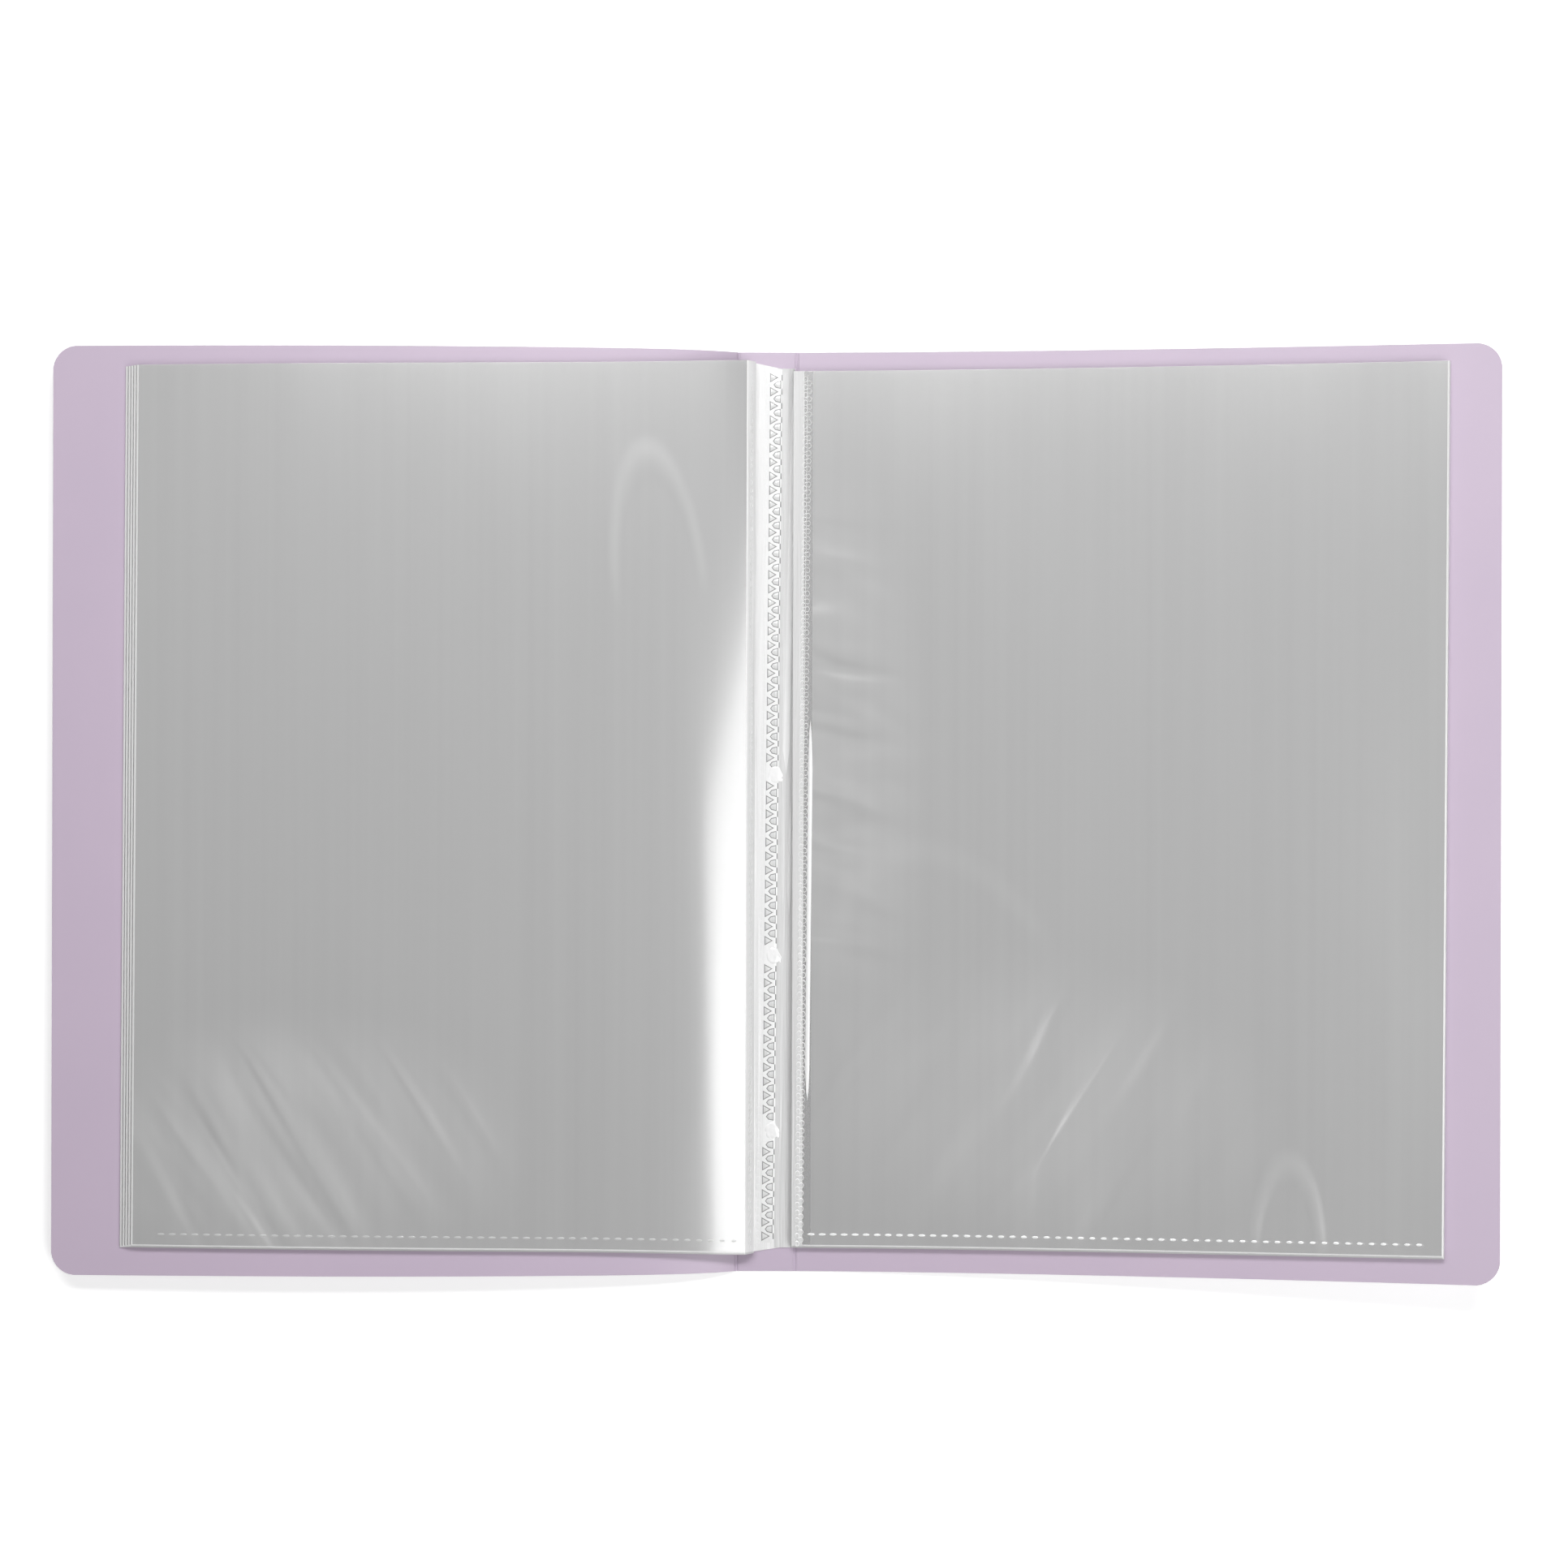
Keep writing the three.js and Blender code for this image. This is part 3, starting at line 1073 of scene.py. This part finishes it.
def spine_seam(number, side, level):
    """On the right two staggered rows beside the gutter, on the left one row on the flank."""
    prefix = f"leaf_{number:02d}_"
    if side.sign < 0:
        x = side.root - FLANK_RUN / 2
        z = side.film_z(x, level, side.top_face(x))
        bottom, top = side.ends(x)
        seam = ring_row(
            prefix + "ring_seam", x, z, bottom + 3 * MM, top, tilt=FLANK_TILT, tube=FAINT_TUBE
        )
    else:
        near = side.root + SEAM_REACH
        far = near + ROW_APART
        bottom, top = side.ends(near)
        z = side.film_z(near, level, side.top_face(near))
        seam = ring_row(prefix + "ring_seam", near, z, bottom + 2 * MM, top, WELD_LEAN)
        start = bottom + 2 * MM + RING_PITCH / 2
        second = ring_row(prefix + "second_row", far, z, start, top, WELD_LEAN)
        join_pieces(seam, second)
    finish_piece(seam)
    paint(seam, weld_film)
    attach(seam, f"leaf_{number:02d}")
    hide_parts(prefix + "spine_seam")
    return seam


seams = [spine_seam(number, side, level) for number, side, level in leaves]
print("spine seams:", len(seams), "of", len(seams[-1].data.polygons), "faces")


# %% Ridge beside the right seam
RIDGE_WIDTH = 1.5 * MM
RIDGE_HEIGHT = 0.3 * MM
RIDGE_FROM_SEAM = 3 * MM
RIDGE_BOTTOM = -100 * MM
RIDGE_TOP = 32 * MM


def seam_ridge():
    """The film of the top right leaf swells beside its seam, in the lower two thirds."""
    x = BACK_ROOT + SEAM_REACH + RIDGE_FROM_SEAM
    z = back_side.film_z(x, 4, FILM * 2 + POCKET_GAP)
    outline = []
    for angle in in_steps(0, math.pi, 6):
        outline.append((x - RIDGE_WIDTH / 2 * math.cos(angle), z + RIDGE_HEIGHT * math.sin(angle)))

    def ends(at):
        share = abs(at - x) / (RIDGE_WIDTH / 2)
        return RIDGE_BOTTOM + 12 * MM * share**2, RIDGE_TOP - 18 * MM * share**2

    ridge = pulled_sheet("seam_ridge", outline, ends, 40, weld_lean)
    apply_modifier(ridge, "SOLIDIFY", thickness=FILM, offset=0)
    finish_piece(ridge, 60)
    # The ridge takes the white weld finish, as a painted highlight of the swelling.
    paint(ridge, weld_film)
    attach(ridge, "leaf_06")
    return ridge


ridge = seam_ridge()
print("seam ridge:", len(ridge.data.polygons), "faces")

# %% [markdown]
# ## The gutter
#
# The margins of all leaves are gathered into one strip on the spine, and a zig-zag tool welds
# them to it. Between the strip and the first leaf on each side the margin bends as the book is
# closed. Here each margin is one piece from the zig-zag weld to the root of that leaf.


# %% Binding strip and margins
def film_strip(name, outline, thickness):
    """A strip of gathered film in the gutter."""
    strip = pulled_sheet(name, outline, gutter_ends, 60)
    apply_modifier(strip, "SOLIDIFY", thickness=thickness, offset=0)
    finish_piece(strip, 60)
    paint(strip, gutter_film_and_painted_glare)
    return strip


strip_thickness = strip_high.z - strip_low.z
strip_middle = (strip_high.z + strip_low.z) / 2
binding = film_strip(
    "binding_film",
    [(x, strip_middle) for x in in_steps(strip_low.x, strip_high.x, 14)],
    strip_thickness,
)
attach(binding, "spine")
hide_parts("binding_strip")

MARGIN = 0.1 * MM
MARGIN_Z = strip_high.z + MARGIN / 2 + 0.01 * MM
FOLD_RIDGE = 0.06 * MM
UNDER_BAND = 1.4 * MM
PAST_ROOT = 0.3 * MM


def margin(name, side, weld_edge):
    """The film margin between the zig-zag weld and the root of the lowest leaf."""
    weld_edge -= side.sign * UNDER_BAND
    reach = abs(side.root - weld_edge)
    outline = []
    for share in in_steps(0, 1, 12):
        x = weld_edge + side.sign * (reach + PAST_ROOT) * share
        swell = FOLD_RIDGE * max(math.sin(math.pi * share * 1.2), 0)
        outline.append((x, MARGIN_Z + swell))
    last_x, last_z = outline[-1]
    outline[-1] = (last_x, ROOT_Z + FILM / 2)
    piece = film_strip(name, outline, MARGIN)
    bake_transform(piece)
    return piece


front_margin = margin("front_margin_film", front_side, ZIGZAG_LOW.x)
back_margin = margin("back_margin_film", back_side, ZIGZAG_HIGH.x)
paint(back_margin, margin_film)
print("gutter film:", len(binding.data.polygons), "faces")


# %% Seam dots and wavy lip of the gathered film
def margin_dots():
    """The seam of the lowest left leaf shows as faint rings on its margin."""
    bottom, top = gutter_ends(ZIGZAG_LOW.x)
    x = ZIGZAG_LOW.x - 1.5 * MM
    z = MARGIN_Z + MARGIN / 2
    dots = ring_row("margin_dots", x, z, bottom + 3 * MM, top, WELD_LEAN, tube=0.09 * MM)
    finish_piece(dots)
    paint(dots, weld_film)
    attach(dots, "spine")
    return dots


LIP_X = ZIGZAG_LOW.x + 4.4 * MM
LIP_Z = MARGIN_Z + 0.1 * MM
LIP_WIDTH = 0.8 * MM


def wavy_lip():
    """The cut edge of the gathered film right of the zig-zag, which the heat has made wavy."""
    outline = [(LIP_X, LIP_Z), (LIP_X + LIP_WIDTH, LIP_Z)]
    lip = pulled_sheet("wavy_lip", outline, gutter_ends, 150, weld_lean)
    for vertex in lip.data.vertices:
        if vertex.co.x - WELD_LEAN * vertex.co.y > LIP_X + LIP_WIDTH / 2:
            along = vertex.co.y / MM
            wave = 0.22 * math.sin(along / 1.9) + 0.18 * math.sin(along / 5.3)
            vertex.co.x += wave * MM
    apply_modifier(lip, "SOLIDIFY", thickness=FILM, offset=0)
    finish_piece(lip, 60)
    paint(lip, margin_film)
    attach(lip, "spine")
    return lip


FOLD_LEAN = 0.024
FOLD_RISE = 0.2 * MM


def fold_lean(x):
    """Lean of the folds in the right margin."""
    return FOLD_LEAN


def margin_fold(name, x, width, bottom, top):
    """A fold in the right margin that stands up a little and catches the light; its white finish is a
    painted highlight.
    """
    outline = []
    for angle in in_steps(0, math.pi, 6):
        rise = FOLD_RISE * math.sin(angle) * (1.2 - 0.6 * math.sin(angle))
        outline.append((x - width / 2 * math.cos(angle), MARGIN_Z + 0.03 * MM + rise))

    def ends(at):
        share = abs(at - x) / (width / 2)
        return bottom + 9 * MM * share, top - 14 * MM * share

    fold = pulled_sheet(name, outline, ends, 30, fold_lean)
    apply_modifier(fold, "SOLIDIFY", thickness=FILM, offset=0)
    finish_piece(fold, 60)
    # The fold is painted with the nearly white gathered film, as a painted highlight of the streak it
    # catches.
    paint(fold, gutter_film_and_painted_glare)
    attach(fold, "spine")
    return fold


dots = margin_dots()
lip = wavy_lip()
folds = [
    margin_fold("upper_margin_fold", 6.2 * MM, 2.4 * MM, 13 * MM, 151 * MM),
    margin_fold("lower_margin_fold", 8.5 * MM, 1.4 * MM, -36 * MM, 4 * MM),
]
print("margin dots and lip:", len(dots.data.polygons), "and", len(lip.data.polygons), "faces")

# %% [markdown]
# ## The zig-zag weld
#
# The tool melts a bright band that runs from side to side. What it leaves unmelted shows as
# two columns of small islands with a pressed groove round them: pointed ones on the left, half
# round ones on the right. Between the half round ones the edge of the band is pressed in too.
# The grooves and these dents are painted dark grey, as painted shade. At three places the film
# has crumpled under the tool.

# %% Zig-zag band and islands
ZIGZAG_PITCH = 4.9 * MM
BAND_HEIGHT = 0.1 * MM
ISLAND_HEIGHT = 0.06 * MM
GROOVE_WIDTH = 0.3 * MM
CRUMPLES = (13 * MM, -50 * MM, -111 * MM)
CRUMPLE_REACH = 3.2 * MM
BAND_TOP = MARGIN_Z + MARGIN / 2 + BAND_HEIGHT
BAND_LEFT = ZIGZAG_LOW.x - 0.3 * MM
BAND_RIGHT = ZIGZAG_LOW.x + 3.95 * MM
BAND_SHORT = 0.6 * MM


def weld_band():
    """The melted band that carries the islands."""
    middle = BAND_TOP - BAND_HEIGHT / 2
    outline = [(x, middle) for x in in_steps(BAND_LEFT, BAND_RIGHT, 4)]
    band = pulled_sheet("zigzag_band", outline, band_ends, 40, weld_lean)
    apply_modifier(band, "SOLIDIFY", thickness=BAND_HEIGHT, offset=0)
    apply_modifier(band, "BEVEL", width=0.03 * MM, segments=2, limit_method="ANGLE")
    finish_piece(band)
    paint(band, weld_film)
    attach(band, "spine")
    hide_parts("zigzag_weld")
    return band


def band_ends(x):
    """The zig-zag stops just short of the ends of the film."""
    return ZIGZAG_LOW.y, gutter_ends(x)[1] - BAND_SHORT


def weld_spots(x, first_y, reach):
    """One spot per pitch of the tool, left out where the film crumpled."""
    spots = []
    y = first_y
    while y < band_ends(x)[1] - reach:
        if all(abs(y - crumple) > CRUMPLE_REACH for crumple in CRUMPLES):
            spots.append((x + WELD_LEAN * y, y, BAND_TOP))
        y += ZIGZAG_PITCH
    return spots


def island_column(name, x, first_y, corners, size, turn, flat_side):
    """A column of equal islands with a groove round each, whole or cut flat on the right."""
    spots = weld_spots(x, first_y, size[1] / 2)
    column = start_piece(
        name,
        bpy.ops.mesh.primitive_circle_add,
        vertices=corners,
        radius=0.5,
        fill_type="NGON",
        rotation=(0, 0, math.radians(turn)),
        location=spots[0],
    )
    bpy.ops.transform.resize(value=(size[0], size[1], 1), center_override=spots[0])
    if flat_side:
        cut = spots[0]
        bpy.ops.mesh.select_all(action="SELECT")
        bpy.ops.mesh.bisect(plane_co=cut, plane_no=(1, 0, 0), clear_outer=True)
        bpy.ops.mesh.select_all(action="SELECT")
    bpy.ops.mesh.inset(thickness=GROOVE_WIDTH, depth=0)
    bpy.ops.mesh.extrude_region_move(TRANSFORM_OT_translate={"value": (0, 0, ISLAND_HEIGHT)})
    bpy.ops.transform.resize(value=(0.86, 0.86, 1), center_override=(*spots[0][:2], 0))
    repeat_along(spots)
    move(z=0.012 * MM)
    finish_piece(column)
    # The groove round each island is painted dark grey as painted shade.
    paint(column, island_film, groove_painted_shade)
    low = BAND_TOP + ISLAND_HEIGHT * 0.3
    paint_where(column, 1, lambda co: co.z < low)
    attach(column, "spine")
    return column


band = weld_band()
left_x = ZIGZAG_LOW.x + 0.75 * MM
right_x = ZIGZAG_LOW.x + 3.6 * MM
left_y = ZIGZAG_LOW.y + 2.2 * MM
right_y = left_y + ZIGZAG_PITCH / 2
POINTED_SIZE = (3.9 * MM, 3.9 * MM)
ROUND_SIZE = (5.4 * MM, 2.9 * MM)
left_islands = island_column("pointed_islands", left_x, left_y, 3, POINTED_SIZE, -90, False)
right_islands = island_column("round_islands", right_x, right_y, 8, ROUND_SIZE, 0, True)


# %% Dents in the edge of the band
def edge_dashes(x, width, length):
    """Dents in the right edge of the band, one between two islands, painted dark grey as the shade in
    them.
    """
    spots = weld_spots(x, left_y, length / 2)
    dashes = start_piece("edge_dashes", bpy.ops.mesh.primitive_plane_add, size=1, location=spots[0])
    bpy.ops.transform.resize(value=(width, length, 1), center_override=spots[0])
    bpy.ops.mesh.extrude_region_move(TRANSFORM_OT_translate={"value": (0, 0, 0.03 * MM)})
    bpy.ops.transform.resize(value=(0.6, 0.9, 1), center_override=spots[0])
    repeat_along(spots)
    finish_piece(dashes)
    paint(dashes, groove_painted_shade)
    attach(dashes, "spine")
    return dashes


dashes = edge_dashes(BAND_RIGHT - 0.1 * MM, 0.4 * MM, 2 * MM)
print("zig-zag:", len(left_islands.data.polygons) + len(right_islands.data.polygons), "faces")


# %% Crumpled places of the zig-zag
def crumple(name, y):
    """A lump where the film folded over itself under the tool, with a small tail."""
    middle = (ZIGZAG_LOW.x + ZIGZAG_HIGH.x) / 2 + WELD_LEAN * y
    lump = start_piece(
        name,
        bpy.ops.mesh.primitive_ico_sphere_add,
        subdivisions=3,
        radius=1.0,
        scale=(2.3 * MM, 2.9 * MM, 0.2 * MM),
        location=(middle + 0.4 * MM, y, BAND_TOP),
    )
    select_where("VERT", lambda co: co.x > middle + 2.1 * MM)
    move(x=0.6 * MM, y=-1.1 * MM, z=-0.1 * MM)
    bpy.ops.object.mode_set(mode="OBJECT")
    wrinkle = bpy.data.textures.new(name, "CLOUDS")
    wrinkle.noise_scale = 1.1 * MM
    apply_modifier(lump, "DISPLACE", texture=wrinkle, strength=0.5 * MM, texture_coords="LOCAL")
    finish_piece(lump, 30)
    paint(lump, weld_film)
    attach(lump, "spine")
    return lump


lumps = [crumple(f"crumple_{at}", y) for at, y in enumerate(CRUMPLES, 1)]
print("crumpled places:", len(lumps))

# %% [markdown]
# ## Floor and light
#
# The book lies on a white table under soft studio light. A white floor that is lit evenly
# would do, but its colour falls off towards the edges. So camera rays get a little extra
# white, and the floor still takes the book's soft shadow. A large lamp at the front right gives
# that shadow and the long glare on the left pile. A narrow one behind the book lightens the
# upper ends of the pockets, and a weak one fills from the left.


# %% Floor
def white_table():
    """Plain white floor that still shows the shadow of the book."""
    material, tree = new_material("white_table")
    path = add_node(tree, "ShaderNodeLightPath")
    glow = add_node(
        tree,
        "ShaderNodeMath",
        {0: path.outputs["Is Camera Ray"], 1: 0.45},
        operation="MULTIPLY",
    )
    shader = add_node(
        tree,
        "ShaderNodeBsdfPrincipled",
        {
            "Base Color": colour("f4f4f4"),
            "Roughness": 0.9,
            "Specular IOR Level": 0.0,
            "Emission Color": colour("ffffff"),
            "Emission Strength": glow.outputs[0],
        },
    )
    add_node(tree, "ShaderNodeOutputMaterial", {"Surface": shader.outputs["BSDF"]})
    return material


bpy.ops.object.select_all(action="DESELECT")
bpy.ops.mesh.primitive_plane_add(size=6, location=(0, 0, -0.05 * MM))
floor = bpy.context.object
floor.name = "table"
bpy.ops.object.transform_apply(location=True, rotation=False, scale=False)
paint(floor, white_table())


# %% World and lamps
def soft_world():
    """A white room. Reflections see its wall in front a little darker than the one behind."""
    world = bpy.data.worlds.new("studio")
    world.use_nodes = True
    tree = world.node_tree
    tree.nodes.clear()
    path = add_node(tree, "ShaderNodeLightPath")
    way = add_node(tree, "ShaderNodeTexCoord")
    parts = add_node(tree, "ShaderNodeSeparateXYZ", {"Vector": way.outputs["Generated"]})
    wall = add_node(
        tree,
        "ShaderNodeMapRange",
        {"Value": parts.outputs["Y"], "From Min": -0.3, "From Max": 0.3, "To Min": 0.5, "To Max": 1.15},
    )
    glossy = add_node(
        tree,
        "ShaderNodeMix",
        {"Factor": path.outputs["Is Glossy Ray"], "A": DIFFUSE_ROOM, "B": wall.outputs["Result"]},
        data_type="FLOAT",
    )
    straight = add_node(
        tree,
        "ShaderNodeMath",
        {0: path.outputs["Is Camera Ray"], 1: path.outputs["Is Transmission Ray"]},
        operation="MAXIMUM",
    )
    level = add_node(
        tree,
        "ShaderNodeMix",
        {"Factor": straight.outputs[0], "A": glossy.outputs["Result"], "B": 1.0},
        data_type="FLOAT",
    )
    background = add_node(
        tree,
        "ShaderNodeBackground",
        {"Color": colour("ffffff"), "Strength": level.outputs["Result"]},
    )
    add_node(tree, "ShaderNodeOutputWorld", {"Surface": background.outputs["Background"]})
    return world


def softbox(name, place, width, length, watts, roll=0.0):
    """A rectangular lamp that looks at the middle of the book, rolled by degrees."""
    bpy.ops.object.light_add(type="AREA", location=place)
    lamp = bpy.context.object
    lamp.name = name
    aim = (-Vector(place)).to_track_quat("-Z", "Y")
    lamp.rotation_euler = (aim @ Quaternion((0, 0, 1), math.radians(roll))).to_euler()
    lamp.data.shape = "RECTANGLE"
    lamp.data.size = width
    lamp.data.size_y = length
    lamp.data.energy = watts
    return lamp


DIFFUSE_ROOM = 0.09
bpy.context.scene.world = soft_world()
softbox("key_softbox", (0.76, -0.37, 1.4), 1.0, 0.8, 12.5, roll=38)
softbox("top_softbox", (-0.02, 0.52, 1.0), 0.7, 0.2, 7.6)
softbox("left_softbox", (-1.3, 0.1, 1.2), 0.5, 0.9, 1)
bpy.context.scene.view_settings.view_transform = "Standard"
